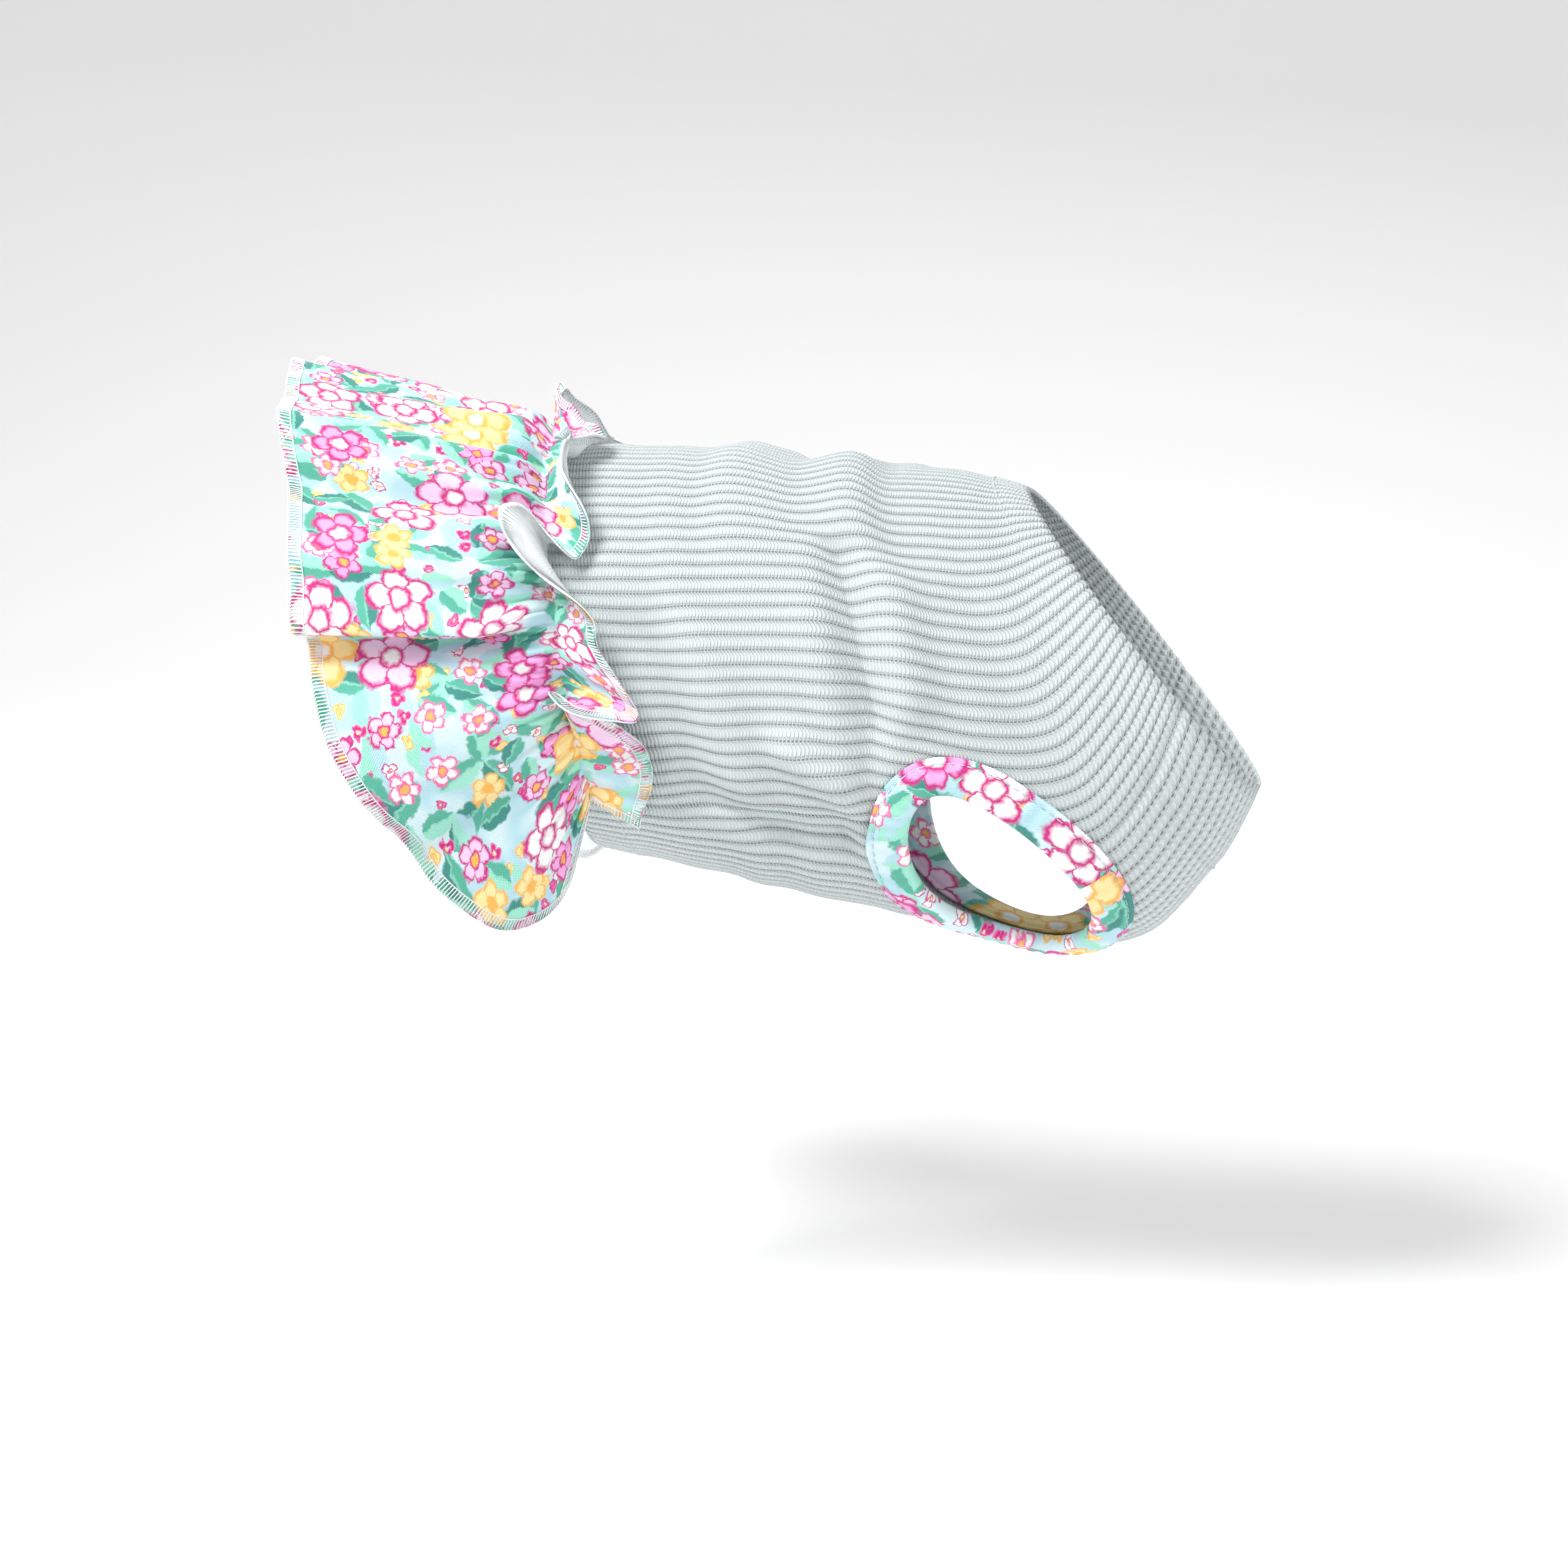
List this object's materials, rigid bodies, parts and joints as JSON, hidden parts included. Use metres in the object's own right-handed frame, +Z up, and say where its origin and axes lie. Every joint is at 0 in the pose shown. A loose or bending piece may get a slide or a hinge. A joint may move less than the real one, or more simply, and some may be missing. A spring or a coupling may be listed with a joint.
{
  "type": "dog dress",
  "caption": "Sleeveless rib-knit dress for a small dog, with bound armholes and a short gathered skirt of floral cotton under a ruffled heading.",
  "frame": {"origin": "on the inner face of the knit at the midline of the back, where the dress sits on the wearer", "axes": "+X towards the wearer's head, +Z up, -Y towards the wearer's right side"},
  "size_m": [0.2794, 0.1793, 0.1691],
  "materials": {
    "rib_knit": "matt rib knit, pale sage",
    "printed_cotton": "matt woven cotton with a small floral print, white on its wrong side"
  },
  "bodies": {
    "root": {"back_panel": "rib_knit", "belly_panel": "rib_knit", "armhole_binding_right": "printed_cotton", "armhole_binding_left": "printed_cotton", "gathered_skirt": "printed_cotton"}
  },
  "joints": []
}
